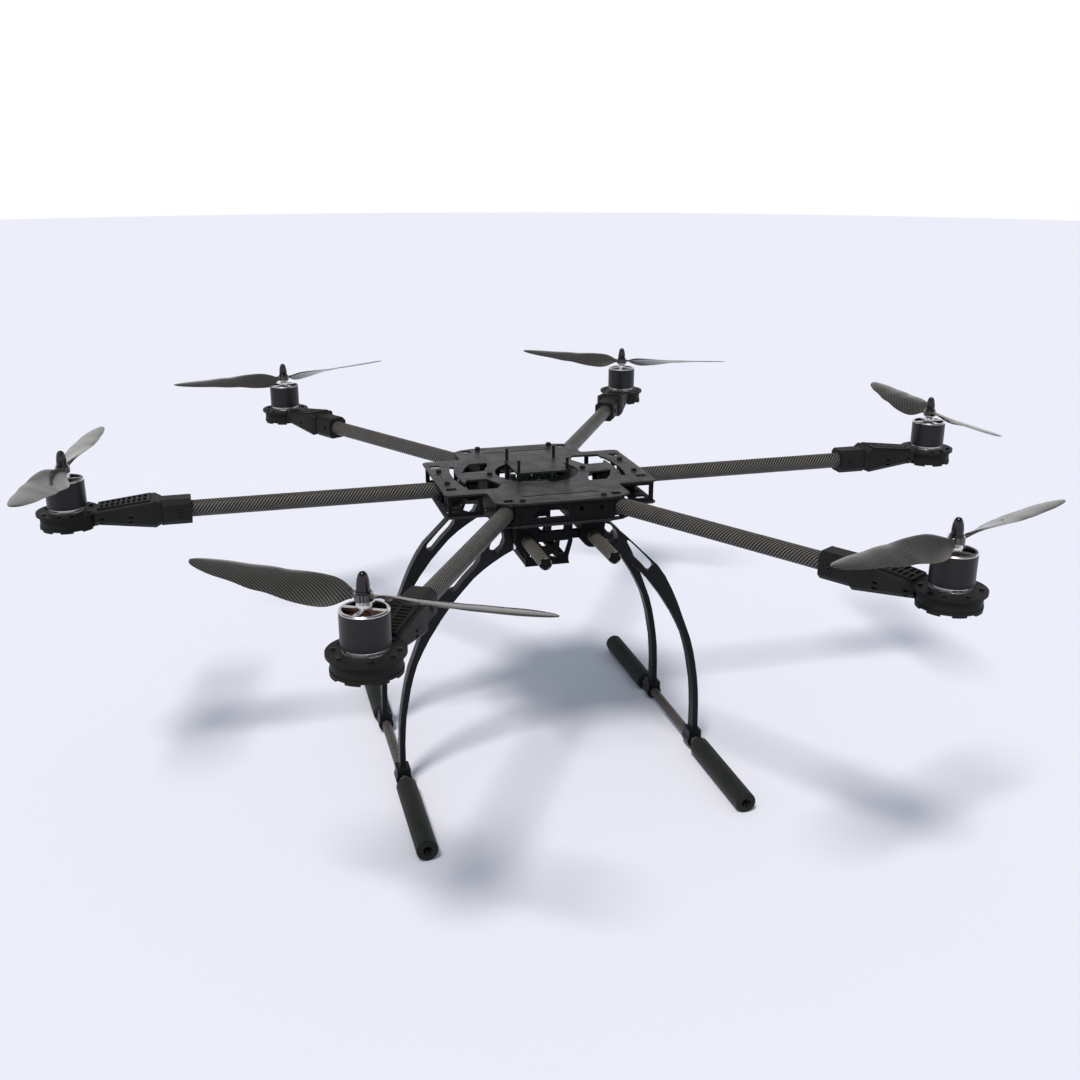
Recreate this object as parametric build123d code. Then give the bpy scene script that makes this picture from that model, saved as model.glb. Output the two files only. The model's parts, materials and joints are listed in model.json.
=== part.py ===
from build123d import *
import math
import os

# Hexacopter drone: carbon hub plates, six fixed tube arms, six outrunner
# motors with two-blade propellers, curved legs on two skids, payload rails.
# Frame: +Z up, front is -Y, origin on the ground under the hub's axis.

# ---------------------------------------------------------------- dimensions
ARM_R = 450.0            # hub axis to motor axis
ARM_ANGLES = [-60, 0, 60, 120, 180, 240]
ARM_NAMES = ["fr", "r", "br", "bl", "l", "fl"]
PROP_ANGLES = [19.9, -94.3, 147.0, 20.3, 79.6, -37.4]

TUBE_R = 8.0             # arm tube outside radius
TUBE_WALL = 1.0
TUBE_Z = 291.5           # arm tube axis height
TUBE_IN, TUBE_OUT = 62.0, 371.0

PLATE_T = 2.0
BOT_Z = 279.5            # underside of bottom plate
GAP = 20.0               # space between the plates
TOP_Z = BOT_Z + PLATE_T + GAP      # underside of top plate
TOP_S = TOP_Z + PLATE_T            # top surface of top plate

TIP_Z = 355.5            # top of the spinner nuts
NUT_H = 15.5
PROP_HUB_H = 5.0
PROP_R = 139.7           # 279.4 mm propeller
PROP_PITCH = 119.4       # advance per turn
PROP_Z = TIP_Z - NUT_H - PROP_HUB_H     # underside of propeller hub
BELL_TOP = 329.0
BELL_BOT = 303.0
BELL_R = 17.5
BASE_TOP = 302.5         # stator base
MOUNT_TOP = 298.8        # motor disc top surface
DISC_R = 28.0
DISC_T = 2.5
CUP_R = 25.0
CUP_BOT = 283.0

SKID_X, SKID_Z = 157.5, 10.0
SKID_R = 5.0
SKID_HALF = 198.0
SLEEVE_R = 10.3          # slightly flattened underneath where it rests
SLEEVE_IN, SLEEVE_OUT = 81.0, 203.0
LEG_Y = 62.0             # centre of the front and back leg planes
LEG_T = 13.0

RAIL_X, RAIL_Z, RAIL_R = 33.0, 259.5, 6.0
RAIL_HALF = 154.0
HANGER_Y0, HANGER_Y1 = 73.0, 88.0

PLAT_Z = 308.5           # underside of controller platform
PLAT_CY = 0.0
PLAT_W, PLAT_D = 55.0, 55.0
POST_X, POST_Y = 25.0, 25.0
POST_TOP = 323.0

os.makedirs("parts", exist_ok=True)


# ------------------------------------------------------------------- helpers
def flat(points, z0, h):
    """A prism on a horizontal outline."""
    face = make_face(Polyline(*[(x, y) for x, y in points], close=True))
    return Pos(0, 0, z0) * extrude(face, h)


def upright(points, y0, t):
    """A prism whose outline lies in the XZ plane, from y0 to y0+t."""
    face = make_face(Polyline(*[(x, 0, z) for x, z in points], close=True))
    s = extrude(face, t, dir=(0, 1, 0))
    return Pos(0, y0, 0) * s


def cyl(r, z0, z1, x=0.0, y=0.0):
    return Pos(x, y, (z0 + z1) / 2) * Cylinder(r, z1 - z0)


def box(x0, x1, y0, y1, z0, z1):
    return Pos((x0 + x1) / 2, (y0 + y1) / 2, (z0 + z1) / 2) * Box(x1 - x0, y1 - y0, z1 - z0)


def xcyl(r, x0, x1, y, z):
    return Pos((x0 + x1) / 2, y, z) * Rot(0, 90, 0) * Cylinder(r, x1 - x0)


def ycyl(r, y0, y1, x, z):
    return Pos(x, (y0 + y1) / 2, z) * Rot(90, 0, 0) * Cylinder(r, y1 - y0)


def solids_of(*items):
    out = []
    for it in items:
        if isinstance(it, (list, tuple)):
            out += solids_of(*it)
        else:
            out += list(it.solids())
    return out


def save(name, *items):
    s = solids_of(*items)
    shape = s[0] if len(s) == 1 else Compound(children=s)
    export_step(shape, "parts/%s.step" % name)


def chamfer_safe(s, edges, d):
    try:
        return chamfer(edges, d)
    except Exception:
        return s


def top_edges(s, z, tol=0.05):
    return [e for e in s.edges() if abs(e.bounding_box().min.Z - z) < tol and abs(e.bounding_box().max.Z - z) < tol]


# ---------------------------------------------------------------- hub plates
# Both plates share one outline: a wide middle and a narrower front and back.
OUT_Q = [(107, 0), (107, 60), (103.5, 63.5), (68.5, 63.5), (66.5, 66), (66.5, 97), (58, 103.5), (44, 107)]
outline = [(x, y) for x, y in OUT_Q]
outline += [(-x, y) for x, y in reversed(OUT_Q)]
outline += [(-x, -y) for x, y in OUT_Q[1:]]
outline += [(x, -y) for x, y in reversed(OUT_Q[1:])]
clean = []
for p in outline:
    if not clean or (abs(clean[-1][0] - p[0]) + abs(clean[-1][1] - p[1])) > 1e-6:
        clean.append(p)
outline = clean


def half_turn(pts):
    return [(-x, -y) for x, y in pts]


WIN_A = [(46, 37), (53, 50), (81, 48.5), (81.5, 30), (76, 15), (56, 14)]
WIN_B = [(52, -15), (75, -13), (68, -32), (60, -45), (42, -45), (44, -34)]
ARC = [(83, -38), (86.5, -18), (87, 0), (86.5, 18), (83, 38), (78.6, 36), (81.5, 17), (82.3, 0), (81.5, -17), (78.6, -36)]


def plate(z0, bottom=False):
    p = flat(outline, z0, PLATE_T)
    cuts = []
    if not bottom:
        for w in (WIN_A, WIN_B):
            cuts += [flat(w, z0 - 1, PLATE_T + 2), flat(half_turn(w), z0 - 1, PLATE_T + 2)]
        cuts += [flat(ARC, z0 - 1, PLATE_T + 2), flat(half_turn(ARC), z0 - 1, PLATE_T + 2)]
        cuts.append(cyl(42.5, z0 - 1, z0 + PLATE_T + 1))
        for s in (-1, 1):
            cuts.append(box(-38, 38, s * 84 - 1.0, s * 84 + 1.0, z0 - 1, z0 + PLATE_T + 1))
    else:
        for sx in (-1, 1):
            for sy in (-1, 1):
                w = [(sx * 62, sy * 20), (sx * 84, sy * 16), (sx * 86, sy * 40), (sx * 80, sy * 50), (sx * 64, sy * 50)]
                cuts.append(flat(w, z0 - 1, PLATE_T + 2))
        for s in (-1, 1):
            o = [(-29, s * 79), (-25, s * 67), (-17, s * 59), (17, s * 59), (25, s * 67), (29, s * 79), (21, s * 84), (-21, s * 84)]
            cuts.append(flat(o, z0 - 1, PLATE_T + 2))
    for sx in (-1, 1):
        for sy in (-1, 1):
            cuts.append(box(sx * 97 - 5, sx * 97 + 5, sy * 43 - 4.2, sy * 43 + 4.2, z0 - 1, z0 + PLATE_T + 1))
            cuts.append(box(sx * 53 - 4.5, sx * 53 + 4.5, sy * 95 - 4, sy * 95 + 4, z0 - 1, z0 + PLATE_T + 1))
    for c in cuts:
        p = p - c
    return p


top_plate = plate(TOP_Z)
bottom_plate = plate(BOT_Z, bottom=True)

SCREWS = [(97, 22.5), (97, -22.5), (-97, 22.5), (-97, -22.5), (49, 0), (-49, 0)]
TALL = [(40, 98), (-40, 98), (40, -98), (-40, -98)]
for x, y in SCREWS + TALL:
    top_plate = top_plate - cyl(1.6, TOP_Z - 1, TOP_S + 1, x, y)
    bottom_plate = bottom_plate - cyl(1.6, BOT_Z - 1, BOT_Z + 3, x, y)
save("top_plate", top_plate)
save("bottom_plate", bottom_plate)

# ------------------------------------------------------- between the plates
Z0, Z1 = BOT_Z + PLATE_T, TOP_Z       # inside faces of the plates


def end_wall(sy):
    w = box(-47.5, 47.5, sy * 103.5 - 1.5, sy * 103.5 + 1.5, Z0, Z1)
    w = w - upright([(-34, Z0 + 4), (-25, Z1 - 3), (4, Z1 - 3), (4, Z0 + 4)], sy * 103.5 - 3, 6)
    w = w - ycyl(2.6, sy * 103.5 - 3, sy * 103.5 + 3, 16, Z0 + 12)
    w = w - ycyl(2.6, sy * 103.5 - 3, sy * 103.5 + 3, 36, Z0 + 12)
    for sx in (-1, 1):
        w = w + cyl(3.2, Z0, Z1, sx * 46.5, sy * 103.0)
    return w


side_walls = []
for sx in (-1, 1):
    for sy in (-1, 1):
        x0, x1 = sorted((sx * 70, sx * 104))
        w = box(x0, x1, sy * 60 - 1.5, sy * 60 + 1.5, Z0, Z1)
        w = w - box(min(sx * 74, sx * 100), max(sx * 74, sx * 100), sy * 60 - 3, sy * 60 + 3, Z0 + 3, Z1 - 3)
        side_walls.append(w)
save("hub_walls", end_wall(-1), end_wall(1), side_walls)


def place_arm(s, ang):
    return Rot(0, 0, ang) * s


# Split clamp blocks grip each tube between the plates, one outer, one inner.
def clamp(u0, u1, hw):
    c = box(u0, u1, -hw, hw, Z0, Z1)
    c = chamfer_safe(c, [e for e in c.edges() if abs(abs(e.center().Y) - hw) < 0.01 and abs(e.length - (u1 - u0)) < 0.01], 2.5)
    c = c - xcyl(TUBE_R + 0.02, u0 - 1, u1 + 1, 0, TUBE_Z)
    return c


clamps = []
for a in ARM_ANGLES:
    out0 = 91 if a in (0, 180) else 96
    for u0, u1 in ((66, 74), (out0, out0 + 11)):
        clamps.append(place_arm(clamp(u0, u1, 13 if a in (0, 180) else 11), a))
save("arm_clamps", clamps)

# Standoffs between the plates and the screw heads over and under them.
standoffs = [cyl(3.0, Z0, Z1, x, y) - cyl(1.55, Z0 - 1, Z1 + 1, x, y) for x, y in SCREWS + TALL]
save("plate_standoffs", standoffs)


def cap_screw(x, y, z, head_r, head_h, shank, up=1, shank_r=1.5):
    """Socket cap screw; z is the surface its head bears on."""
    if up > 0:
        h = cyl(head_r, z, z + head_h, x, y)
        h = chamfer_safe(h, top_edges(h, z + head_h), 0.3)
        h = h - (Pos(x, y, z + head_h) * extrude(RegularPolygon(head_r * 0.52, 6), -head_h * 0.55))
        return h + cyl(shank_r, z - shank, z, x, y)
    h = cyl(head_r, z - head_h, z, x, y)
    h = h - (Pos(x, y, z - head_h) * extrude(RegularPolygon(head_r * 0.52, 6), head_h * 0.55))
    return h + cyl(shank_r, z, z + shank, x, y)


hub_screws = []
for x, y in SCREWS:
    hub_screws.append(cap_screw(x, y, TOP_S, 2.8, 2.4, 8))
    hub_screws.append(cap_screw(x, y, BOT_Z, 2.8, 2.4, 8, up=-1))
for x, y in TALL:
    hub_screws.append(cap_screw(x, y, TOP_S, 2.8, 3.6 if y > 0 else 1.8, 8))
    hub_screws.append(cap_screw(x, y, BOT_Z, 2.8, 2.4, 8, up=-1))

# Power board under the central opening, threaded on the four posts.
board = box(-33, 33, -33, 33, 287.0, 288.6)
feet = None
for sx in (-1, 1):
    for sy in (-1, 1):
        board = board - cyl(1.65, 286, 290, sx * POST_X, sy * POST_Y)
board = board + box(-14, 14, -10, 10, 288.6, 291.6)
for i in range(6):
    board = board + cyl(3.2, 288.6, 296.0, -20 + 8 * i, 20)
    board = board + box(-22 + 8 * i, -17 + 8 * i, -22, -16, 288.6, 291.0)
save("power_board", board)

# ---------------------------------------------------- controller platform
platform = box(-PLAT_W / 2, PLAT_W / 2, PLAT_CY - PLAT_D / 2, PLAT_CY + PLAT_D / 2, PLAT_Z, PLAT_Z + 2)
platform = chamfer_safe(platform, [e for e in platform.edges() if abs(e.length - 2) < 0.01], 3)
posts = []
for sx in (-1, 1):
    for sy in (-1, 1):
        px, py = sx * POST_X, PLAT_CY + sy * POST_Y
        platform = platform - cyl(1.65, PLAT_Z - 1, PLAT_Z + 3, px, py)
        p = cyl(2.6, Z0, 287.0, px, py) + cyl(1.45, 287.0, 288.6, px, py) + cyl(2.3, 288.6, PLAT_Z, px, py)
        p = p + cyl(1.45, PLAT_Z, PLAT_Z + 2, px, py) + cyl(1.6, PLAT_Z + 2, POST_TOP, px, py)
        posts.append(p)
save("controller_platform", platform)
save("platform_posts", posts)

# ----------------------------------------------------------------- arms
tube = xcyl(TUBE_R, TUBE_IN, TUBE_OUT, 0, TUBE_Z) - xcyl(TUBE_R - TUBE_WALL, TUBE_IN - 1, TUBE_OUT + 1, 0, TUBE_Z)
for n, a in zip(ARM_NAMES, ARM_ANGLES):
    save("arm_tube_" + n, place_arm(tube, a))

# Moulded motor mount: an octagonal socket on the tube, a tapered housing for
# the speed controller, a flat disc for the motor and a skirt under it.
COL_IN, COL_OUT = 340.0, 368.0
HS_IN, HS_OUT = 367.0, 427.0


def octagon_x(half, cham, u0, u1, zc):
    pts = [(half, half - cham), (half - cham, half), (-half + cham, half), (-half, half - cham),
           (-half, -half + cham), (-half + cham, -half), (half - cham, -half), (half, -half + cham)]
    face = make_face(Polyline(*[(0, y, z + zc) for y, z in pts], close=True))
    return Pos(u0, 0, 0) * extrude(face, u1 - u0, dir=(1, 0, 0))


def hull_section(u, w, z0, z1, ch):
    pts = [(w, z0 + ch), (w, z1 - ch * 0.35), (w - ch * 0.35, z1), (-w + ch * 0.35, z1), (-w, z1 - ch * 0.35),
           (-w, z0 + ch), (-w + ch, z0), (w - ch, z0)]
    return make_face(Polyline(*[(u, y, z) for y, z in pts], close=True))


def tapered(u0, w0, a0, b0, u1, w1, a1, b1, ch):
    return loft([hull_section(u0, w0, a0, b0, ch), hull_section(u1, w1, a1, b1, ch)], ruled=True)


HZ0, HZ1 = 279.0, 305.5      # housing bottom and top at its deep end
EZ0, EZ1 = 285.5, 298.8      # and at the motor end
housing = tapered(HS_IN + 6, 16.5, HZ0, HZ1, HS_OUT, 14.0, EZ0, EZ1, 4.0)
housing = housing + tapered(HS_IN, 13.5, HZ0 + 2.5, HZ1 - 2.5, HS_IN + 6, 16.5, HZ0, HZ1, 4.0)
inner = loft([make_face(Polyline(*[(376, y, z) for y, z in ((13.5, 283.5), (13.5, 330), (-13.5, 330), (-13.5, 283.5))], close=True)),
              make_face(Polyline(*[(424, y, z) for y, z in ((11.5, 288.8), (11.5, 330), (-11.5, 330), (-11.5, 288.8))], close=True))], ruled=True)
collar = octagon_x(12.2, 4.4, COL_IN, COL_OUT, TUBE_Z)
disc = cyl(DISC_R, MOUNT_TOP - DISC_T, MOUNT_TOP, ARM_R, 0)
cup = cyl(CUP_R, CUP_BOT + 3, MOUNT_TOP - DISC_T + 0.5, ARM_R, 0) + cyl(CUP_R + 0.6, CUP_BOT, CUP_BOT + 3.6, ARM_R, 0)
mount = collar + housing + disc + cup
mount = mount - inner
mount = mount - cyl(CUP_R - 2.2, CUP_BOT - 1, MOUNT_TOP - DISC_T, ARM_R, 0)
# the housing's lower wall closes off against the skirt
mount = mount - xcyl(TUBE_R + 0.03, COL_IN - 1, TUBE_OUT, 0, TUBE_Z)
mount = mount - cyl(4.4, MOUNT_TOP - 6, MOUNT_TOP + 1, ARM_R, 0)
# notches round the skirt's lower rim
for k in range(8):
    b = Pos(ARM_R, 0, 0) * Rot(0, 0, 22.5 + 45 * k) * box(CUP_R - 6, CUP_R + 4, -4.2, 4.2, CUP_BOT - 1, CUP_BOT + 1.5)
    mount = mount - b
# paired slots through both side walls
for u in (394, 420):
    for dz in (-2.3, 2.3):
        mount = mount - box(u - 2.2, u + 2.2, -30, 30, TUBE_Z - 2.5 + dz - 0.9, TUBE_Z - 2.5 + dz + 0.9)
MSCREW = [(18.7, 45), (18.7, 135), (18.7, 225), (18.7, 315)]
mount_holes = [(ARM_R + 22.6 * math.cos(math.radians(t)), 22.6 * math.sin(math.radians(t))) for t in (30, 75, 105, 150, 210, 255, 285, 330)]
for x, y in mount_holes:
    mount = mount - cyl(1.1, MOUNT_TOP - DISC_T - 0.8, MOUNT_TOP + 1, x, y)

# Perforated cover let into the housing's top.
slope = math.degrees(math.atan2(EZ1 - HZ1, HS_OUT - HS_IN - 6))
cover = loft([make_face(Polyline(*[(376.3, y, z) for y, z in ((13.3, 303.9), (13.3, 306.3), (-13.3, 306.3), (-13.3, 303.9))], close=True)),
              make_face(Polyline(*[(423.7, y, z) for y, z in ((11.3, 298.9), (11.3, 301.3), (-11.3, 301.3), (-11.3, 298.9))], close=True))], ruled=True)
for i in range(9):
    for v in (-5.6, 5.6):
        cover = cover - box(379.6 + 4.85 * i, 382.4 + 4.85 * i, v - 4.2, v + 4.2, 290, 320)

esc = loft([make_face(Polyline(*[(378.5, y, z) for y, z in ((12.5, 296.5), (12.5, 298.1), (-12.5, 298.1), (-12.5, 296.5))], close=True)),
            make_face(Polyline(*[(421.5, y, z) for y, z in ((10.8, 293.3), (10.8, 294.9), (-10.8, 294.9), (-10.8, 293.3))], close=True))], ruled=True)
for i in range(6):
    for v in (-6.5, 0, 6.5):
        zz = 297.9 - 3.2 * (4.5 + 6.4 * i) / 43
        esc = esc + box(381 + 6.4 * i, 385 + 6.4 * i, v - 1.9, v + 1.9, zz - 0.6, zz + 1.5)
esc = esc + box(384, 388, -2, 2, 285.0, 297) + box(412, 416, -2, 2, 288.2, 295)

mount_screws = []
covers = []
escs = []
for n, a in zip(ARM_NAMES, ARM_ANGLES):
    save("motor_mount_" + n, place_arm(mount, a))
    covers.append(place_arm(cover, a))
    escs.append(place_arm(esc, a))
    for x, y in mount_holes:
        s = cyl(1.9, MOUNT_TOP, MOUNT_TOP + 1.1, x, y) + cyl(1.05, MOUNT_TOP - 3, MOUNT_TOP, x, y)
        s = s - (Pos(x, y, MOUNT_TOP + 1.1) * extrude(RegularPolygon(1.0, 6), -0.7))
        mount_screws.append(place_arm(s, a))
    # one screw in each side of the socket
    for sy in (-1, 1):
        h = Pos(351, sy * 12.9, TUBE_Z) * Rot(90, 0, 0) * Cylinder(2.6, 1.4)
        h = h - Pos(351, sy * 13.4, TUBE_Z) * Rot(90, 0, 0) * extrude(RegularPolygon(1.3, 6), 1.4, both=True)
        mount_screws.append(place_arm(h, a))
save("vent_covers", covers)
save("speed_controllers", escs)
save("cap_screws", hub_screws, mount_screws)

# ---------------------------------------------------------------- motors
base = cyl(16.3, MOUNT_TOP, BASE_TOP, ARM_R, 0)
for k in range(4):
    base = base - (Pos(ARM_R, 0, 0) * Rot(0, 0, 45 + 90 * k) * box(11.5, 20, -4.6, 4.6, MOUNT_TOP + 0.9, MOUNT_TOP + 2.6))
base = base + cyl(5.2, BASE_TOP - 0.5, 325.0, ARM_R, 0)
base = base - cyl(2.05, MOUNT_TOP - 1, 326, ARM_R, 0)

core = cyl(8.0, 305.0, 324.5, ARM_R, 0)
for k in range(12):
    core = core + (Pos(ARM_R, 0, 0) * Rot(0, 0, 15 + 30 * k) * box(6, 15.2, -2.5, 2.5, 305.5, 324.0))
core = core - cyl(5.25, 300, 330, ARM_R, 0)

bell = cyl(BELL_R, BELL_BOT, BELL_TOP, ARM_R, 0)
bell = chamfer_safe(bell, top_edges(bell, BELL_TOP), 0.8)
bell = bell - cyl(15.9, BELL_BOT - 1, BELL_TOP - 2.2, ARM_R, 0)
ring_cut = cyl(15.2, BELL_TOP - 4, BELL_TOP + 1, ARM_R, 0) - cyl(5.0, BELL_TOP - 4, BELL_TOP + 1, ARM_R, 0)
for k in range(4):
    sp = Pos(ARM_R, 0, 0) * Rot(0, 0, 90 * k) * flat([(4, -1.5), (16.2, -2.4), (16.2, 2.4), (4, 1.5)], BELL_TOP - 5, 7)
    ring_cut = ring_cut - sp
bell = bell - ring_cut
bell = bell + cyl(5.0, BELL_TOP - 3.5, BELL_TOP + 0.5, ARM_R, 0)
bell = bell + cyl(2.0, 300.2, BELL_TOP, ARM_R, 0)

adapter = cyl(5.6, BELL_TOP + 0.5, BELL_TOP + 2.6, ARM_R, 0)
adapter = adapter + Pos(ARM_R, 0, BELL_TOP + 2.6 + 1.2) * Cone(5.6, 4.2, 2.4)
adapter = adapter + cyl(5.4, BELL_TOP + 5.0, PROP_Z, ARM_R, 0)
adapter = adapter + cyl(3.0, PROP_Z, TIP_Z - 5, ARM_R, 0)

nut = cyl(5.6, TIP_Z - NUT_H, TIP_Z - NUT_H + 1.8, ARM_R, 0)
prof = [(0, TIP_Z - NUT_H + 1.0), (4.7, TIP_Z - NUT_H + 1.0), (4.6, TIP_Z - 9.5), (4.1, TIP_Z - 5.5), (3.2, TIP_Z - 2.4), (2.0, TIP_Z - 0.7), (0, TIP_Z)]
nose = revolve(make_face(Plane.XZ * Polyline(*prof, close=True)), Axis.Z)
nut = nut + Pos(ARM_R, 0, 0) * nose
nut = nut - cyl(3.0, TIP_Z - NUT_H - 1, TIP_Z - 5, ARM_R, 0)

# Two-blade propeller, turning clockwise seen from above: the leading edge is
# the higher one.  Sections are cambered and twist with the pitch.
STATIONS = [(6.0, 9.0, 3.6, 14.0), (11.0, 12.0, 3.4, 26.0), (18.0, 20.0, 3.0, 34.0), (28.0, 27.0, 2.5, 31.0), (40.0, 30.0, 2.1, None),
            (55.0, 30.5, 1.9, None), (72.0, 29.0, 1.7, None), (90.0, 26.5, 1.5, None), (107.0, 23.0, 1.3, None),
            (122.0, 18.5, 1.15, None), (132.0, 13.0, 1.0, None), (138.0, 6.5, 0.8, None), (139.7, 2.6, 0.6, None)]
PROP_MID = PROP_Z + 2.6
RISE = 7.0               # the blades cone upwards to the tips


def section(r, chord, thick, beta):
    if beta is None:
        beta = math.degrees(math.atan(PROP_PITCH / (2 * math.pi * r)))
    b = math.radians(beta)
    zc = RISE * (r / PROP_R) ** 1.2
    up, dn = [], []
    for t, yu, yd in ((0.0, 0.0, 0.0), (0.07, 0.55, -0.2), (0.3, 1.0, -0.05), (0.65, 0.72, 0.12), (1.0, 0.0, 0.0)):
        s = (0.42 - t) * chord          # + towards the leading edge
        camb = chord * 0.035 * math.sin(math.pi * t)
        up.append((s, camb + yu * thick * 0.5))
        dn.append((s, camb + (yd - 0.35 if 0 < t < 1 else 0) * thick * 0.5))

    def w(p):
        s, h = p
        # blade along +X; clockwise from above, so it moves towards -Y
        y = -(s * math.cos(b) - h * math.sin(b))
        z = s * math.sin(b) + h * math.cos(b)
        return (r, y, PROP_MID + zc + z)
    a = Spline(*[w(p) for p in up])
    c = Spline(*[w(p) for p in dn])
    return Face(Wire([a, c]))


blade = loft([section(*s) for s in STATIONS], ruled=False)
hub_p = cyl(6.6, PROP_Z, PROP_Z + PROP_HUB_H)
prop = hub_p + blade + Rot(0, 0, 180) * blade
prop = prop - cyl(3.03, PROP_Z - 10, PROP_Z + 20)
prop = prop - cyl(12, PROP_Z - 12, PROP_Z) - cyl(12, PROP_Z + PROP_HUB_H, PROP_Z + 20)
prop = prop - cyl(3.03, PROP_Z - 10, PROP_Z + 20)

bases, cores = [], []
for n, a, pa in zip(ARM_NAMES, ARM_ANGLES, PROP_ANGLES):
    bases.append(place_arm(base, a))
    cores.append(place_arm(core, a))
    save("motor_bell_" + n, place_arm(bell, a))
    save("prop_adapter_" + n, place_arm(adapter, a))
    save("spinner_nut_" + n, place_arm(nut, a))
    cx, cy = ARM_R * math.cos(math.radians(a)), ARM_R * math.sin(math.radians(a))
    save("propeller_" + n, Pos(cx, cy, 0) * Rot(0, 0, pa) * prop)
save("motor_bases", bases)
save("motor_windings", cores)

# ----------------------------------------------------------- landing gear
# Curved leg: one bar low down, splitting into an outer and an inner bar.
OUTER = [(42, 279.4), (48, 272.5), (56, 265.9), (67, 256.0), (78, 246.0), (98, 226.1), (109, 215.2), (117.2, 203.3), (125.0, 188.4),
         (132.0, 172.5), (137.4, 158.6), (143.5, 142.5), (148.0, 130.0), (152.0, 115.0), (155.0, 100.0), (157.6, 84.0), (159.4, 68.0), (160.3, 50.0), (160.8, 28.0), (161.5, 17.0)]
INNER = [(153.5, 17.0), (154.8, 28.0), (154.6, 49.3), (153.6, 65.0), (152.4, 79.1), (149.8, 94.0), (147.0, 108.9), (143.6, 122.0), (139.7, 134.3), (133.8, 147.0),
         (127.1, 159.6), (114.8, 179.0), (101.4, 197.3), (91.0, 209.0), (81.5, 219.2), (71.0, 227.8), (61.6, 234.1), (51.0, 240.5), (42, 244.8)]
SLOT2 = [(76.0, 245.0), (79.5, 242.2), (93.0, 228.6), (105.2, 215.4), (106.6, 211.0), (103.6, 207.6), (99.6, 208.6), (90.5, 219.5), (80.0, 230.0), (75.6, 236.5), (74.4, 242.0)]
SLOT1 = [(52.0, 264.6), (56.5, 263.2), (63.0, 256.6), (65.5, 250.0), (64.2, 243.8), (59.0, 242.8), (53.5, 247.5), (50.5, 255.0)]


def leg(sx, sy):
    y0 = sy * LEG_Y - LEG_T / 2
    s = upright(OUTER + INNER, y0, LEG_T)
    for w in (SLOT1, SLOT2):
        s = s - upright(w, y0 - 1, LEG_T + 2)
    # saddle round the skid tube
    s = s + ycyl(8.2, sy * LEG_Y - 8.5, sy * LEG_Y + 8.5, SKID_X, SKID_Z)
    s = s + box(150.5, 164.5, sy * LEG_Y - 8.5, sy * LEG_Y + 8.5, SKID_Z + 4, SKID_Z + 12)
    s = s - ycyl(SKID_R + 0.02, sy * LEG_Y - 30, sy * LEG_Y + 30, SKID_X, SKID_Z)
    if sx < 0:
        s = mirror(s, about=Plane.YZ)
    return s


for n, sx, sy in (("fr", 1, -1), ("fl", -1, -1), ("br", 1, 1), ("bl", -1, 1)):
    save("leg_" + n, leg(sx, sy))

skids, sleeves, brackets, hangers, rails, plugs = [], [], [], [], [], []
for sx in (-1, 1):
    skids.append(ycyl(SKID_R, -SKID_HALF, SKID_HALF, sx * SKID_X, SKID_Z) - ycyl(SKID_R - 1, -SKID_HALF - 1, SKID_HALF + 1, sx * SKID_X, SKID_Z))
    for sy in (-1, 1):
        y0, y1 = sorted((sy * SLEEVE_IN, sy * SLEEVE_OUT))
        s = ycyl(SLEEVE_R, y0, y1, sx * SKID_X, SKID_Z)
        s = fillet(s.edges().filter_by(GeomType.CIRCLE), 2.6)
        s = s - ycyl(SKID_R + 0.02, y0 - 1, y1 + 1, sx * SKID_X, SKID_Z)
        s = s - box(sx * SKID_X - 20, sx * SKID_X + 20, y0 - 5, y1 + 5, -5, 0)
        sleeves.append(s)
        # folded bracket between the leg's root and the bottom plate
        xa, xb = sorted((sx * 39.4, sx * 41.9))
        b = box(xa, xb, sy * LEG_Y - 7, sy * LEG_Y + 7, 246, BOT_Z)
        xa, xb = sorted((sx * 35.0, sx * 41.9))
        brackets.append(b)
        # hanger that carries the rail under the plate
        hy0, hy1 = sorted((sy * HANGER_Y0, sy * HANGER_Y1))
        h = box(sx * RAIL_X - 11.5, sx * RAIL_X + 11.5, hy0, hy1, RAIL_Z, BOT_Z)
        h = h + ycyl(11.5, hy0, hy1, sx * RAIL_X, RAIL_Z)
        h = h - ycyl(RAIL_R + 0.02, hy0 - 1, hy1 + 1, sx * RAIL_X, RAIL_Z)
        h = chamfer_safe(h, [], 0.1)
        hangers.append(h)
        p0, p1 = sorted((sy * (RAIL_HALF - 6), sy * (RAIL_HALF - 0.6)))
        plugs.append(ycyl(RAIL_R - 1.0, p0, p1, sx * RAIL_X, RAIL_Z))
    rails.append(ycyl(RAIL_R, -RAIL_HALF, RAIL_HALF, sx * RAIL_X, RAIL_Z) - ycyl(RAIL_R - 1, -RAIL_HALF - 1, RAIL_HALF + 1, sx * RAIL_X, RAIL_Z))
save("skid_tubes", skids)
save("foam_sleeves", sleeves)
save("leg_brackets", brackets)
pairs = []
for sy, i, j in ((-1, 0, 2), (1, 1, 3)):
    b0, b1 = sorted((sy * 78, sy * 73))
    h = hangers[i] + hangers[j] + box(-24, 24, b0, b1, 255.5, 264)
    for cx in (-9.2, 9.2):
        brace = Plane.YZ * Polyline((sy * 73, 262), (sy * 78, 262), (sy * 84, BOT_Z), (sy * 79, BOT_Z), close=True)
        h = h + Pos(cx - 2.5, 0, 0) * extrude(make_face(brace), 5, dir=(1, 0, 0))
    pairs.append(h)
save("rail_hangers", pairs)
save("payload_rails", rails)
save("rail_plugs", plugs)

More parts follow.
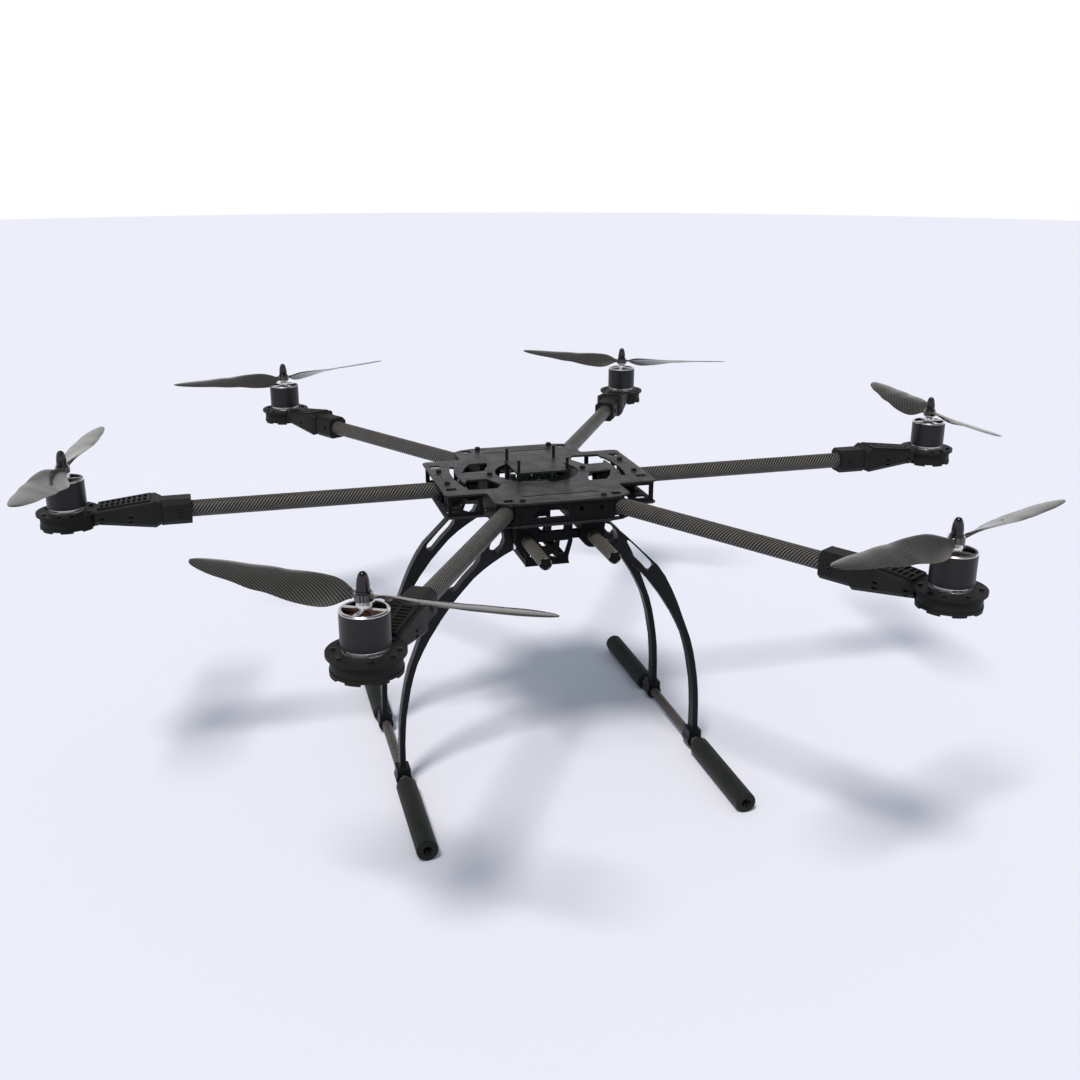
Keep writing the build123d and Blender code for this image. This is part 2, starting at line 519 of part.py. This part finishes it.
# ----------------------------------------------------------- payload tray
# Two trussed end frames hang from the bottom plate and carry a shelf.
TR_Y, TR_T = 41.0, 2.5
SHELF_Z = 218.5
FR_OUT = [(-26.2, BOT_Z), (-26.2, 240), (-21.6, 222.6), (-23.0, SHELF_Z - 2), (23.0, SHELF_Z - 2), (21.6, 222.6), (26.2, 240), (26.2, BOT_Z)]
WINS = [[(-22.8, 276.5), (-22.8, 247), (22.8, 247), (22.8, 276.5)],
        [(-22.4, 241.5), (-17.5, 225.5), (-11.5, 229.5), (-13.0, 241.5)], [(22.4, 241.5), (17.5, 225.5), (11.5, 229.5), (13.0, 241.5)],
        [(-9.6, 241.5), (9.6, 241.5), (0, 231.0)],
        [(-12.0, 222.8), (-1.5, 226.2), (-8.4, 230.6)], [(12.0, 222.8), (1.5, 226.2), (8.4, 230.6)]]
frames = []
for sy in (-1, 1):
    f = upright(FR_OUT, sy * TR_Y - TR_T / 2, TR_T)
    for w in WINS:
        f = f - upright(w, sy * TR_Y - 3, 6)
    frames.append(f)
tray = frames[0] + frames[1]
shelf = box(-22.5, 22.5, -TR_Y - 1.2, TR_Y + 1.2, SHELF_Z - 2, SHELF_Z + 0.2)
for sy in (-1, 1):
    shelf = shelf - box(-14, 14, sy * 20 - 10, sy * 20 + 10, SHELF_Z - 4, SHELF_Z + 2)
shelf = shelf + box(-22.5, -21, -TR_Y, TR_Y, SHELF_Z, SHELF_Z + 4) + box(21, 22.5, -TR_Y, TR_Y, SHELF_Z, SHELF_Z + 4)
tray = tray + shelf
save("payload_tray", tray)

print("nodes written:", len([f for f in os.listdir("parts") if f.endswith(".step")]))
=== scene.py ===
import bpy
import bmesh
import json
import math
from mathutils import Matrix, Vector

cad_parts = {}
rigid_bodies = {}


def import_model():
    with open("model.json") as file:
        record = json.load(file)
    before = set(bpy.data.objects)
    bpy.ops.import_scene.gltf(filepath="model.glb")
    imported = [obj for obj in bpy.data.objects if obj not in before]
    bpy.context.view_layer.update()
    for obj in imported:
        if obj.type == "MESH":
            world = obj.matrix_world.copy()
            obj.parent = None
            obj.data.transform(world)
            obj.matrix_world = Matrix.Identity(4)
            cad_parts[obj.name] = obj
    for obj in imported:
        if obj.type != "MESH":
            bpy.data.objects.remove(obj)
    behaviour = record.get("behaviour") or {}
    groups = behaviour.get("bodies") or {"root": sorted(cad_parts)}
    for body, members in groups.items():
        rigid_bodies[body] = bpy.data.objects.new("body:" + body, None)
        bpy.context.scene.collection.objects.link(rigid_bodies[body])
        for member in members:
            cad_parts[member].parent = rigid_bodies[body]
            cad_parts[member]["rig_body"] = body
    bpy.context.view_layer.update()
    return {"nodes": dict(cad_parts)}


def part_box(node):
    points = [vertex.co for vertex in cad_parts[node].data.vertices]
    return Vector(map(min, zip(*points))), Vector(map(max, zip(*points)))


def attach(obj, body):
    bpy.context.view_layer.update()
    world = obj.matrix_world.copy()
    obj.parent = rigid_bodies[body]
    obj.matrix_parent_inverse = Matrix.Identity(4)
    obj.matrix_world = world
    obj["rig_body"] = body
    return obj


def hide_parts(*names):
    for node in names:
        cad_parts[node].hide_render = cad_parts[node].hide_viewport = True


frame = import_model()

NODES = frame["nodes"]
ARMS = {"fr": -60, "r": 0, "br": 60, "bl": 120, "l": 180, "fl": 240}
PROPS = {"fr": 19.9, "r": -94.3, "br": 147.0, "bl": 20.3, "l": 79.6, "fl": -37.4}


def motor_xy(n):
    lo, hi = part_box("spinner_nut_" + n)
    return (lo.x + hi.x) / 2, (lo.y + hi.y) / 2


# ------------------------------------------------------------ node material
class Mat:
    """A small builder for procedural materials."""

    def __init__(self, name):
        self.m = bpy.data.materials.new(name)
        self.m.use_nodes = True
        self.nt = self.m.node_tree
        self.nt.nodes.clear()
        self.out = self.nt.nodes.new("ShaderNodeOutputMaterial")
        self.b = self.nt.nodes.new("ShaderNodeBsdfPrincipled")
        self.nt.links.new(self.b.outputs[0], self.out.inputs[0])
        self._obj = None
        self._xyz = None

    def node(self, kind, **props):
        n = self.nt.nodes.new(kind)
        for k, v in props.items():
            setattr(n, k, v)
        return n

    def put(self, sock, v):
        if isinstance(v, bpy.types.NodeSocket):
            self.nt.links.new(v, sock)
        elif v is not None:
            sock.default_value = v

    def math(self, op, a, b=None, c=None, clamp=False):
        n = self.node("ShaderNodeMath", operation=op, use_clamp=clamp)
        for i, v in enumerate((a, b, c)):
            if v is not None:
                self.put(n.inputs[i], v)
        return n.outputs[0]

    def add(self, a, b): return self.math("ADD", a, b)
    def sub(self, a, b): return self.math("SUBTRACT", a, b)
    def mul(self, a, b): return self.math("MULTIPLY", a, b)

    @property
    def obj(self):
        if self._obj is None:
            self._obj = self.node("ShaderNodeTexCoord").outputs["Object"]
        return self._obj

    @property
    def xyz(self):
        if self._xyz is None:
            s = self.node("ShaderNodeSeparateXYZ")
            self.put(s.inputs[0], self.obj)
            self._xyz = (s.outputs[0], s.outputs[1], s.outputs[2])
        return self._xyz

    def normal_z(self):
        g = self.node("ShaderNodeNewGeometry")
        s = self.node("ShaderNodeSeparateXYZ")
        self.put(s.inputs[0], g.outputs["Normal"])
        return s.outputs[2]

    def noise(self, scale, detail=3.0, rough=0.55, vec=None, out=0, dist=0.0):
        n = self.node("ShaderNodeTexNoise")
        self.put(n.inputs["Vector"], vec if vec is not None else self.obj)
        n.inputs["Scale"].default_value = scale
        n.inputs["Detail"].default_value = detail
        n.inputs["Roughness"].default_value = rough
        n.inputs["Distortion"].default_value = dist
        return n.outputs[out]

    def voronoi(self, scale, feature="F1", out="Distance", vec=None):
        n = self.node("ShaderNodeTexVoronoi", feature=feature)
        self.put(n.inputs["Vector"], vec if vec is not None else self.obj)
        n.inputs["Scale"].default_value = scale
        return n.outputs[out]

    def stretch(self, sx, sy, sz, rot=(0, 0, 0), vec=None):
        n = self.node("ShaderNodeMapping")
        self.put(n.inputs["Vector"], vec if vec is not None else self.obj)
        n.inputs["Scale"].default_value = (sx, sy, sz)
        n.inputs["Rotation"].default_value = rot
        return n.outputs[0]

    def combine(self, x, y, z):
        n = self.node("ShaderNodeCombineXYZ")
        for i, v in enumerate((x, y, z)):
            self.put(n.inputs[i], v)
        return n.outputs[0]

    def ramp(self, fac, stops):
        n = self.node("ShaderNodeValToRGB")
        self.put(n.inputs[0], fac)
        e = n.color_ramp.elements
        while len(e) > len(stops):
            e.remove(e[-1])
        while len(e) < len(stops):
            e.new(1.0)
        for el, (p, c) in zip(e, stops):
            el.position = p
            el.color = (*c, 1) if len(c) == 3 else c
        return n.outputs[0]

    def mixc(self, fac, a, b):
        n = self.node("ShaderNodeMix", data_type="RGBA")
        self.put(n.inputs[0], fac)
        self.put(n.inputs[6], a if isinstance(a, bpy.types.NodeSocket) else (*a, 1))
        self.put(n.inputs[7], b if isinstance(b, bpy.types.NodeSocket) else (*b, 1))
        return n.outputs[2]

    def mixf(self, fac, a, b):
        n = self.node("ShaderNodeMix", data_type="FLOAT")
        self.put(n.inputs[0], fac)
        self.put(n.inputs[2], a)
        self.put(n.inputs[3], b)
        return n.outputs[0]

    def maprange(self, v, a, b, c, d):
        n = self.node("ShaderNodeMapRange")
        self.put(n.inputs[0], v)
        for i, x in enumerate((a, b, c, d)):
            self.put(n.inputs[i + 1], x)
        return n.outputs[0]

    def bump(self, height, dist, strength=1.0, normal=None):
        n = self.node("ShaderNodeBump")
        n.inputs["Strength"].default_value = strength
        n.inputs["Distance"].default_value = dist
        self.put(n.inputs["Height"], height)
        if normal is not None:
            self.put(n.inputs["Normal"], normal)
        return n.outputs[0]

    def set(self, **kw):
        names = {"color": "Base Color", "rough": "Roughness", "metal": "Metallic", "normal": "Normal", "coat": "Coat Weight",
                 "coat_rough": "Coat Roughness", "spec": "Specular IOR Level", "sheen": "Sheen Weight", "aniso": "Anisotropic", "coat_normal": "Coat Normal"}
        for k, v in kw.items():
            s = self.b.inputs[names[k]]
            if isinstance(v, tuple) and len(v) == 3:
                v = (*v, 1)
            self.put(s, v)
        return self


def weave(m, u, v, w, dark, light, var=0.35):
    """2x2 twill in tow widths of w metres: returns (colour, height)."""
    us, vs = m.math("DIVIDE", u, w), m.math("DIVIDE", v, w)
    i, j = m.math("FLOOR", us), m.math("FLOOR", vs)
    s = m.math("FLOORED_MODULO", m.add(i, j), 4.0)
    warp = m.math("LESS_THAN", s, 1.5)
    fu = m.sub(m.math("FRACT", us), 0.5)
    fv = m.sub(m.math("FRACT", vs), 0.5)
    hu = m.sub(1.0, m.mul(m.mul(fu, fu), 4.0))
    hv = m.sub(1.0, m.mul(m.mul(fv, fv), 4.0))
    h = m.mixf(warp, hv, hu)
    # fibres run along each tow
    fa = m.noise(1.0, 2.0, 0.6, m.combine(m.mul(us, 9.0), m.mul(vs, 0.7), 0.0))
    fb = m.noise(1.0, 2.0, 0.6, m.combine(m.mul(us, 0.7), m.mul(vs, 9.0), 3.0))
    fib = m.mixf(warp, fb, fa)
    blotch = m.noise(60.0, 2.0, 0.5)
    tone = m.mixc(warp, dark, light)
    gain = m.add(m.mul(m.sub(fib, 0.5), var), m.add(m.mul(m.sub(blotch, 0.5), 0.35), 1.0))
    # painted shade: each tow's colour is darkened towards its edges, down to half, following its rounded height
    # profile h, on top of the random fibre and blotch tone
    edge = m.add(m.mul(h, 0.5), 0.5)
    k = m.mul(gain, edge)
    col = m.node("ShaderNodeVectorMath", operation="SCALE")
    m.put(col.inputs[0], tone)
    m.put(col.inputs[3], k)
    return col.outputs[0], m.add(h, m.mul(fib, 0.35))


def tube_uv(m, ang, zc, r, xc=0.0, along_y=False):
    """Length and girth coordinates of a tube, from object coordinates."""
    x, y, z = m.xyz
    if along_y:
        t = m.math("ARCTAN2", m.sub(z, zc), m.sub(m.math("ABSOLUTE", x), xc))
        return y, m.mul(t, r)
    a = math.radians(ang)
    u = m.add(m.mul(x, math.cos(a)), m.mul(y, math.sin(a)))
    s = m.add(m.mul(x, -math.sin(a)), m.mul(y, math.cos(a)))
    t = m.math("ARCTAN2", m.sub(z, zc), s)
    return u, m.mul(t, r)


TOW = 0.00080
TUBE_DARK, TUBE_LIGHT = (0.0022, 0.0021, 0.0022), (0.150, 0.142, 0.131)


def mat_tube(name, ang, zc, r, xc=0.0, along_y=False, tow=TOW, light=TUBE_LIGHT, lay=0.75):
    m = Mat(name)
    u, v = tube_uv(m, ang, zc, r, xc, along_y)
    # a whole number of repeats round the girth, so that the weave closes;
    # lay < 1 turns the twill lines further round the tube
    n = round(2 * math.pi * r / (4 * tow) * lay)
    v = m.mul(v, 4 * n * tow / (2 * math.pi * r))
    col, h = weave(m, u, v, tow, TUBE_DARK, light)
    rough = m.maprange(m.noise(90, 3), 0.3, 0.7, 0.34, 0.48)
    m.set(color=col, rough=rough, normal=m.bump(h, 0.00010, 0.55), spec=0.11)
    return m.m


def mat_sheet(name, w=0.0010, dark=(0.0062, 0.0062, 0.0074), light=(0.060, 0.058, 0.066)):
    m = Mat(name)
    x, y, z = m.xyz
    col, h = weave(m, x, y, w, dark, light, 0.3)
    nz = m.math("ABSOLUTE", m.normal_z())
    flat = m.math("GREATER_THAN", nz, 0.6)
    ply = m.math("FRACT", m.math("DIVIDE", z, 0.00033))
    lam = m.noise(1.0, 3, 0.6, m.stretch(900, 900, 5000))
    side = m.mixc(m.math("ADD", m.mul(ply, 0.5), m.mul(lam, 0.5), clamp=True), (0.006, 0.006, 0.0065), (0.030, 0.030, 0.032))
    colour = m.mixc(flat, side, col)
    rough = m.mixf(flat, 0.62, m.maprange(m.noise(70, 3), 0.3, 0.7, 0.30, 0.46))
    m.set(color=colour, rough=rough, normal=m.bump(m.mul(h, flat), 0.00008, 0.4), spec=0.13)
    return m.m


def mat_moulded(name, base, rough=0.5, grain=0.00005, fleck=0.5, scale=1400, spec=0.12):
    m = Mat(name)
    big = m.noise(28, 4, 0.6)
    fine = m.noise(scale, 2, 0.6)
    pits = m.voronoi(scale * 0.8)
    b2 = tuple(min(1, c * (1 + fleck)) for c in base)
    b1 = tuple(c * (1 - 0.3 * fleck) for c in base)
    col = m.mixc(m.maprange(m.add(m.mul(big, 0.6), m.mul(fine, 0.4)), 0.32, 0.68, 0, 1), b1, b2)
    wear = m.maprange(m.noise(240, 5, 0.7, dist=0.4), 0.62, 0.78, 0, 1)
    col = m.mixc(m.mul(wear, 0.25), col, tuple(min(1, c * 2.0 + 0.004) for c in base))
    r = m.maprange(m.add(m.mul(big, 0.5), m.mul(fine, 0.5)), 0.3, 0.7, rough - 0.08, rough + 0.1)
    h = m.add(m.mul(fine, 0.7), m.mul(pits, 0.5))
    m.set(color=col, rough=r, normal=m.bump(h, grain, 0.5), spec=spec)
    return m.m


def mat_metal(name, base, rough=0.3, scratch=0.5, turned=None, dirt=0.25):
    m = Mat(name)
    streak = m.noise(1.0, 3, 0.6, m.stretch(300, 300, 2600))
    big = m.noise(120, 4, 0.6)
    col = m.mixc(m.maprange(big, 0.35, 0.7, 0, dirt), base, tuple(c * 0.55 for c in base))
    r = m.maprange(m.add(m.mul(streak, scratch), m.mul(big, 1 - scratch)), 0.3, 0.7, rough - 0.07, rough + 0.12)
    m.set(color=col, metal=1.0, rough=r, normal=m.bump(streak, 0.00002, 0.35))
    return m.m


def mat_bell(name, cx, cy):
    """Black anodised barrel with a bare turned ring and spokes on top."""
    m = Mat(name)
    x, y, z = m.xyz
    dx, dy = m.sub(x, cx), m.sub(y, cy)
    rad = m.math("SQRT", m.add(m.mul(dx, dx), m.mul(dy, dy)))
    top = m.math("GREATER_THAN", z, BELL_TOP - 0.00125)
    inner = m.math("MULTIPLY", m.math("LESS_THAN", rad, 0.0150), m.math("GREATER_THAN", z, BELL_TOP - 0.006))
    bare = m.math("MAXIMUM", top, inner)
    turn = m.noise(1.0, 2, 0.6, m.combine(m.mul(rad, 9000), 0.0, m.mul(z, 1500)))
    brush = m.noise(1.0, 3, 0.6, m.combine(m.mul(m.math("ARCTAN2", dy, dx), 6.0), 0.0, m.mul(z, 9000)))
    blot = m.noise(160, 3)
    black = m.mixc(brush, (0.0075, 0.0080, 0.0085), (0.0150, 0.0158, 0.0165))
    silver = m.mixc(turn, (0.60, 0.60, 0.63), (0.83, 0.83, 0.86))
    m.set(color=m.mixc(bare, black, silver), metal=bare, spec=0.24,
          rough=m.mixf(bare, m.maprange(blot, 0.3, 0.7, 0.30, 0.42), m.maprange(turn, 0.3, 0.7, 0.18, 0.34)),
          normal=m.bump(m.mixf(bare, brush, turn), 0.00002, 0.4))
    return m.m


def mat_copper(name):
    m = Mat(name)
    x, y, z = m.xyz
    wire = m.math("FRACT", m.math("DIVIDE", z, 0.00052))
    f = m.sub(wire, 0.5)
    h = m.sub(1.0, m.mul(m.mul(f, f), 4.0))
    n = m.noise(500, 3)
    # painted shade: the colour falls to dark brown in the grooves between wire turns, following the wire's
    # rounded profile h, with random tone from the noise n
    col = m.mixc(m.mul(h, n), (0.10, 0.035, 0.010), (0.62, 0.27, 0.085))
    m.set(color=col, metal=0.85, rough=m.maprange(n, 0.3, 0.7, 0.25, 0.45), normal=m.bump(h, 0.00018, 0.8))
    return m.m


def mat_board(name, scale=1.0):
    m = Mat(name)
    x, y, z = m.xyz
    cell = m.voronoi(420 * scale, out="Color")
    trace = m.math("GREATER_THAN", m.noise(1.0, 2, 0.5, m.stretch(900, 260, 400)), 0.56)
    col = m.mixc(trace, (0.010, 0.045, 0.014), (0.020, 0.085, 0.026))
    sep = m.node("ShaderNodeSeparateColor")
    m.put(sep.inputs[0], cell)
    chip = m.math("GREATER_THAN", sep.outputs[0], 0.72)
    pad = m.math("GREATER_THAN", sep.outputs[1], 0.93)
    col = m.mixc(chip, col, (0.012, 0.012, 0.013))
    col = m.mixc(pad, col, (0.50, 0.50, 0.47))
    m.set(color=col, rough=m.mixf(chip, 0.32, 0.55), normal=m.bump(m.add(chip, pad), 0.0002, 0.6), coat=0.3, coat_rough=0.15)
    return m.m


def mat_foam(name):
    m = Mat(name)
    cells = m.voronoi(1500)
    fine = m.noise(2600, 3, 0.7)
    big = m.noise(45, 4, 0.6)
    h = m.add(m.mul(cells, 0.8), m.mul(fine, 0.5))
    # painted shade darkens the colour into the pits at the foam cells' centres, from the same Voronoi distance
    # as the bump; the big noise adds random tone
    col = m.mixc(m.maprange(m.add(m.mul(big, 0.5), m.mul(cells, 0.6)), 0.3, 0.8, 0, 1), (0.0048, 0.0060, 0.0054), (0.0160, 0.0195, 0.0175))
    m.set(color=col, rough=m.maprange(fine, 0.3, 0.7, 0.62, 0.85), normal=m.bump(h, 0.00012, 0.55), spec=0.15, sheen=0.06)
    return m.m


def mat_gloss(name, base, rough=0.14):
    m = Mat(name)
    n = m.noise(300, 3)
    ring = m.noise(1.0, 2, 0.5, m.stretch(60, 60, 3500))
    col = m.mixc(n, base, tuple(c * 1.7 for c in base))
    m.set(color=col, rough=m.maprange(ring, 0.3, 0.7, rough, rough + 0.14), normal=m.bump(ring, 0.00001, 0.3), spec=0.22, coat=0.45, coat_rough=0.04)
    return m.m


def mat_prop(name, ang, cx, cy):
    """Clear-coated twill, its tows laid along and across the blade."""
    m = Mat(name)
    x, y, z = m.xyz
    a = math.radians(ang)
    dx, dy = m.sub(x, cx), m.sub(y, cy)
    u = m.add(m.mul(dx, math.cos(a)), m.mul(dy, math.sin(a)))
    v = m.add(m.mul(dx, -math.sin(a)), m.mul(dy, math.cos(a)))
    c45 = math.cos(math.radians(20)); s45 = math.sin(math.radians(20))
    u2 = m.add(m.mul(u, c45), m.mul(v, s45))
    v2 = m.add(m.mul(u, -s45), m.mul(v, c45))
    col, h = weave(m, u2, v2, 0.00060, (0.0040, 0.0039, 0.0040), (0.088, 0.085, 0.080), 0.3)
    rad = m.math("SQRT", m.add(m.mul(dx, dx), m.mul(dy, dy)))
    bush = m.math("LESS_THAN", rad, 0.0061)
    col = m.mixc(bush, col, (0.74, 0.74, 0.77))
    m.set(color=col, metal=bush, rough=m.mixf(bush, 0.38, 0.24), normal=m.bump(m.mul(h, m.sub(1.0, bush)), 0.00008, 0.35), spec=0.12, coat=0.7, coat_rough=0.03)
    m.b.inputs["Coat IOR"].default_value = 1.5
    orange = m.noise(180, 2, 0.5)
    m.set(coat_normal=m.bump(orange, 0.00005, 0.12))
    return m.m


BELL_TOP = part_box("motor_bell_fr")[1].z - 0.0005

# ------------------------------------------------------- pieces from nodes
def surface(me):
    """Area and volume of a mesh, from its triangles."""
    me.calc_loop_triangles()
    area = vol = 0.0
    v = me.vertices
    for t in me.loop_triangles:
        a, b, c = (v[i].co for i in t.vertices)
        n = (b - a).cross(c - a)
        area += n.length / 2
        vol += a.dot(n) / 6
    return area, vol


def cleaned(src, dissolve):
    me = src.copy()
    me.materials.clear()
    bm = bmesh.new()
    bm.from_mesh(me)
    bmesh.ops.remove_doubles(bm, verts=bm.verts, dist=2e-6)
    if dissolve:
        bmesh.ops.dissolve_limit(bm, angle_limit=math.radians(1.2), verts=bm.verts, edges=bm.edges, use_dissolve_boundaries=False)
        # a ring-shaped face can't be one polygon, so wide flat faces go back to triangles
        bmesh.ops.triangulate(bm, faces=[f for f in bm.faces if len(f.verts) > 8])
    for f in bm.faces:
        f.smooth = True
    bm.to_mesh(me)
    bm.free()
    return me


def dress(node, mat, bevel=0.00035, segments=2, angle=32, name=None):
    """A finely edged visible piece that takes a CAD node's shape and place."""
    src = NODES[node]
    area, vol = surface(src.data)
    for dissolve, width in ((True, bevel), (False, bevel), (False, bevel * 0.4), (False, 0)):
        me = cleaned(src.data, dissolve)
        ob = bpy.data.objects.new(name or ("v_" + node), me)
        bpy.context.scene.collection.objects.link(ob)
        if width:
            b = ob.modifiers.new("edge", "BEVEL")
            b.width = width
            b.segments = segments
            b.limit_method = "ANGLE"
            b.angle_limit = math.radians(angle)
            b.use_clamp_overlap = True
            b.miter_outer = "MITER_ARC"
            w = ob.modifiers.new("wn", "WEIGHTED_NORMAL")
            w.keep_sharp = False
            w.weight = 80
            dg = bpy.context.evaluated_depsgraph_get()
            done = bpy.data.meshes.new_from_object(ob.evaluated_get(dg))
            a2, v2 = surface(done)
            bpy.data.meshes.remove(done)
            if abs(a2 - area) < 0.05 * area and abs(v2 - vol) < 0.04 * abs(vol):
                break
            bpy.data.objects.remove(ob)
        else:
            me.set_sharp_from_angle(angle=math.radians(angle))
            break
    ob.data.materials.append(mat)
    print("dress", node, "dissolve" if dissolve else "plain", round(width * 1000, 2))
    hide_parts(node)
    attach(ob, src["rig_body"])
    return ob


def paint(node, mat):
    o = NODES[node]
    o.data.materials.clear()
    o.data.materials.append(mat)


M_SHEET = mat_sheet("carbon_sheet_m")
M_MOUNT = mat_moulded("mount_nylon_m", (0.0120, 0.0126, 0.0118), 0.46, 0.00004, spec=0.06)
M_HUB = mat_moulded("hub_nylon_m", (0.0052, 0.0052, 0.0058), 0.48, 0.00004, spec=0.045)
M_COVER = mat_moulded("cover_nylon_m", (0.0085, 0.0095, 0.0085), 0.46, 0.00004, spec=0.08)
M_LEG = mat_moulded("leg_nylon_m", (0.0050, 0.0056, 0.0072), 0.38, 0.00003, spec=0.12)
M_ALLOY = mat_metal("bare_alloy_m", (0.70, 0.70, 0.73), 0.28)
M_STEEL = mat_moulded("black_steel_m", (0.0060, 0.0060, 0.0066), 0.36, 0.00002, spec=0.2)
M_COPPER = mat_copper("copper_wire_m")
M_BOARD = mat_board("board_m")
M_FOAM = mat_foam("foam_m")
M_SPIN = mat_gloss("spinner_m", (0.0026, 0.0019, 0.0048), 0.10)

for n in ("top_plate", "bottom_plate", "controller_platform"):
    dress(n, M_SHEET, 0.0002, 1)
for n in ("hub_walls", "arm_clamps", "rail_hangers", "payload_tray", "rail_plugs"):
    dress(n, M_HUB, 0.0004)
for n in ("fr", "fl", "br", "bl"):
    dress("leg_" + n, M_LEG, 0.0011, 3, 40)
dress("foam_sleeves", M_FOAM, 0.0004)
dress("vent_covers", M_COVER, 0.0002)
dress("speed_controllers", M_BOARD, 0.0001, 1)
dress("power_board", M_BOARD, 0.0001, 1)
dress("cap_screws", M_STEEL, 0.00015, 1)
dress("plate_standoffs", M_STEEL, 0.0002, 1)
dress("platform_posts", M_STEEL, 0.00015, 1)
dress("leg_brackets", M_ALLOY, 0.0003)
dress("motor_bases", M_ALLOY, 0.0002, 1)
dress("motor_windings", M_COPPER, 0.0004)
dress("skid_tubes", mat_tube("skid_tube_m", 0, 0.010, 0.005, 0.1575, True), 0.0002, 1)
dress("payload_rails", mat_tube("rail_tube_m", 0, 0.2595, 0.006, 0.033, True, 0.00094, (0.190, 0.180, 0.158), 0.45), 0.0002, 1)
for n, a in ARMS.items():
    dress("arm_tube_" + n, mat_tube("arm_tube_m_" + n, a, 0.2915, 0.008), 0.0002, 1)
    dress("motor_mount_" + n, M_MOUNT, 0.0005)
    cx, cy = motor_xy(n)
    dress("motor_bell_" + n, mat_bell("bell_m_" + n, cx, cy), 0.0002, 2)
    dress("prop_adapter_" + n, M_ALLOY, 0.0002, 2)
    dress("spinner_nut_" + n, M_SPIN, 0.0002, 2, 50)
    dress("propeller_" + n, mat_prop("prop_m_" + n, PROPS[n], cx, cy), 0)

# ---------------------------------------------------------------- the stage
def flat_material(name, color, rough=0.9):
    m = Mat(name)
    n = m.noise(3.0, 2)
    m.set(color=m.mixc(n, tuple(c * 0.995 for c in color), color), rough=rough, spec=0.2)
    return m.m


me = bpy.data.meshes.new("floor")
bm = bmesh.new()
bmesh.ops.create_circle(bm, cap_ends=True, radius=9.3, segments=128)
bm.to_mesh(me)
bm.free()
floor = bpy.data.objects.new("floor", me)
bpy.context.scene.collection.objects.link(floor)
me.materials.append(flat_material("floor_m", (0.80, 0.81, 0.90)))

world = bpy.data.worlds.new("w")
bpy.context.scene.world = world
world.use_nodes = True
wt = world.node_tree
bg = wt.nodes["Background"]
bg.inputs[0].default_value = (1, 1, 1, 1)
# a bright band round the horizon that dims overhead, and an even fill light
def wnode(kind, **props):
    n = wt.nodes.new(kind)
    for k, v in props.items():
        setattr(n, k, v)
    return n


paths = wnode("ShaderNodeLightPath")
geo = wnode("ShaderNodeSeparateXYZ")
wt.links.new(wnode("ShaderNodeTexCoord").outputs["Generated"], geo.inputs[0])
band = wnode("ShaderNodeMapRange", interpolation_type="SMOOTHSTEP")
wt.links.new(geo.outputs[2], band.inputs[0])
for k, v in enumerate((0.24, 0.56, 1.0, 0.10)):
    band.inputs[k + 1].default_value = v
gloss = wnode("ShaderNodeMix", data_type="FLOAT")
wt.links.new(paths.outputs["Is Glossy Ray"], gloss.inputs[0])
gloss.inputs[2].default_value = 1.0
wt.links.new(band.outputs[0], gloss.inputs[3])
fill = wnode("ShaderNodeMix", data_type="FLOAT")
wt.links.new(paths.outputs["Is Diffuse Ray"], fill.inputs[0])
wt.links.new(gloss.outputs[0], fill.inputs[2])
fill.inputs[3].default_value = 0.40
wt.links.new(fill.outputs[0], bg.inputs[1])
tint = wnode("ShaderNodeMix", data_type="RGBA")
wt.links.new(paths.outputs["Is Diffuse Ray"], tint.inputs[0])
tint.inputs[6].default_value = (1, 1, 1, 1)
tint.inputs[7].default_value = (0.87, 0.98, 1.09, 1)
wt.links.new(tint.outputs[2], bg.inputs[0])


def sun(name, to, strength, angle, color=(1, 1, 1)):
    l = bpy.data.lights.new(name, "SUN")
    l.energy = strength
    l.angle = math.radians(angle)
    l.color = color
    o = bpy.data.objects.new(name, l)
    bpy.context.scene.collection.objects.link(o)
    o.rotation_euler = Vector(to).to_track_quat("-Z", "Y").to_euler()
    return o


sun("key", (98, 140, -293), 2.56, 13, (1.0, 0.942, 0.886))

cam_d = bpy.data.cameras.new("cam")
cam_d.sensor_width = 36.0
cam_d.lens = 1196.38 / 1080 * 36.0
cam_d.clip_start = 0.01
cam_d.clip_end = 100
cam = bpy.data.objects.new("cam", cam_d)
bpy.context.scene.collection.objects.link(cam)
right = Vector((0.9645, -0.2642, 0.0009)).normalized()
fwd = Vector((0.2505, 0.9132, -0.3214)).normalized()
up = right.cross(fwd).normalized()
right = fwd.cross(up).normalized()
rot = Matrix((right, up, -fwd)).transposed().to_4x4()
cam.matrix_world = Matrix.Translation(Vector((-0.30804, -1.13644, 0.6290))) @ rot
bpy.context.scene.camera = cam
bpy.context.scene.view_settings.view_transform = "Standard"
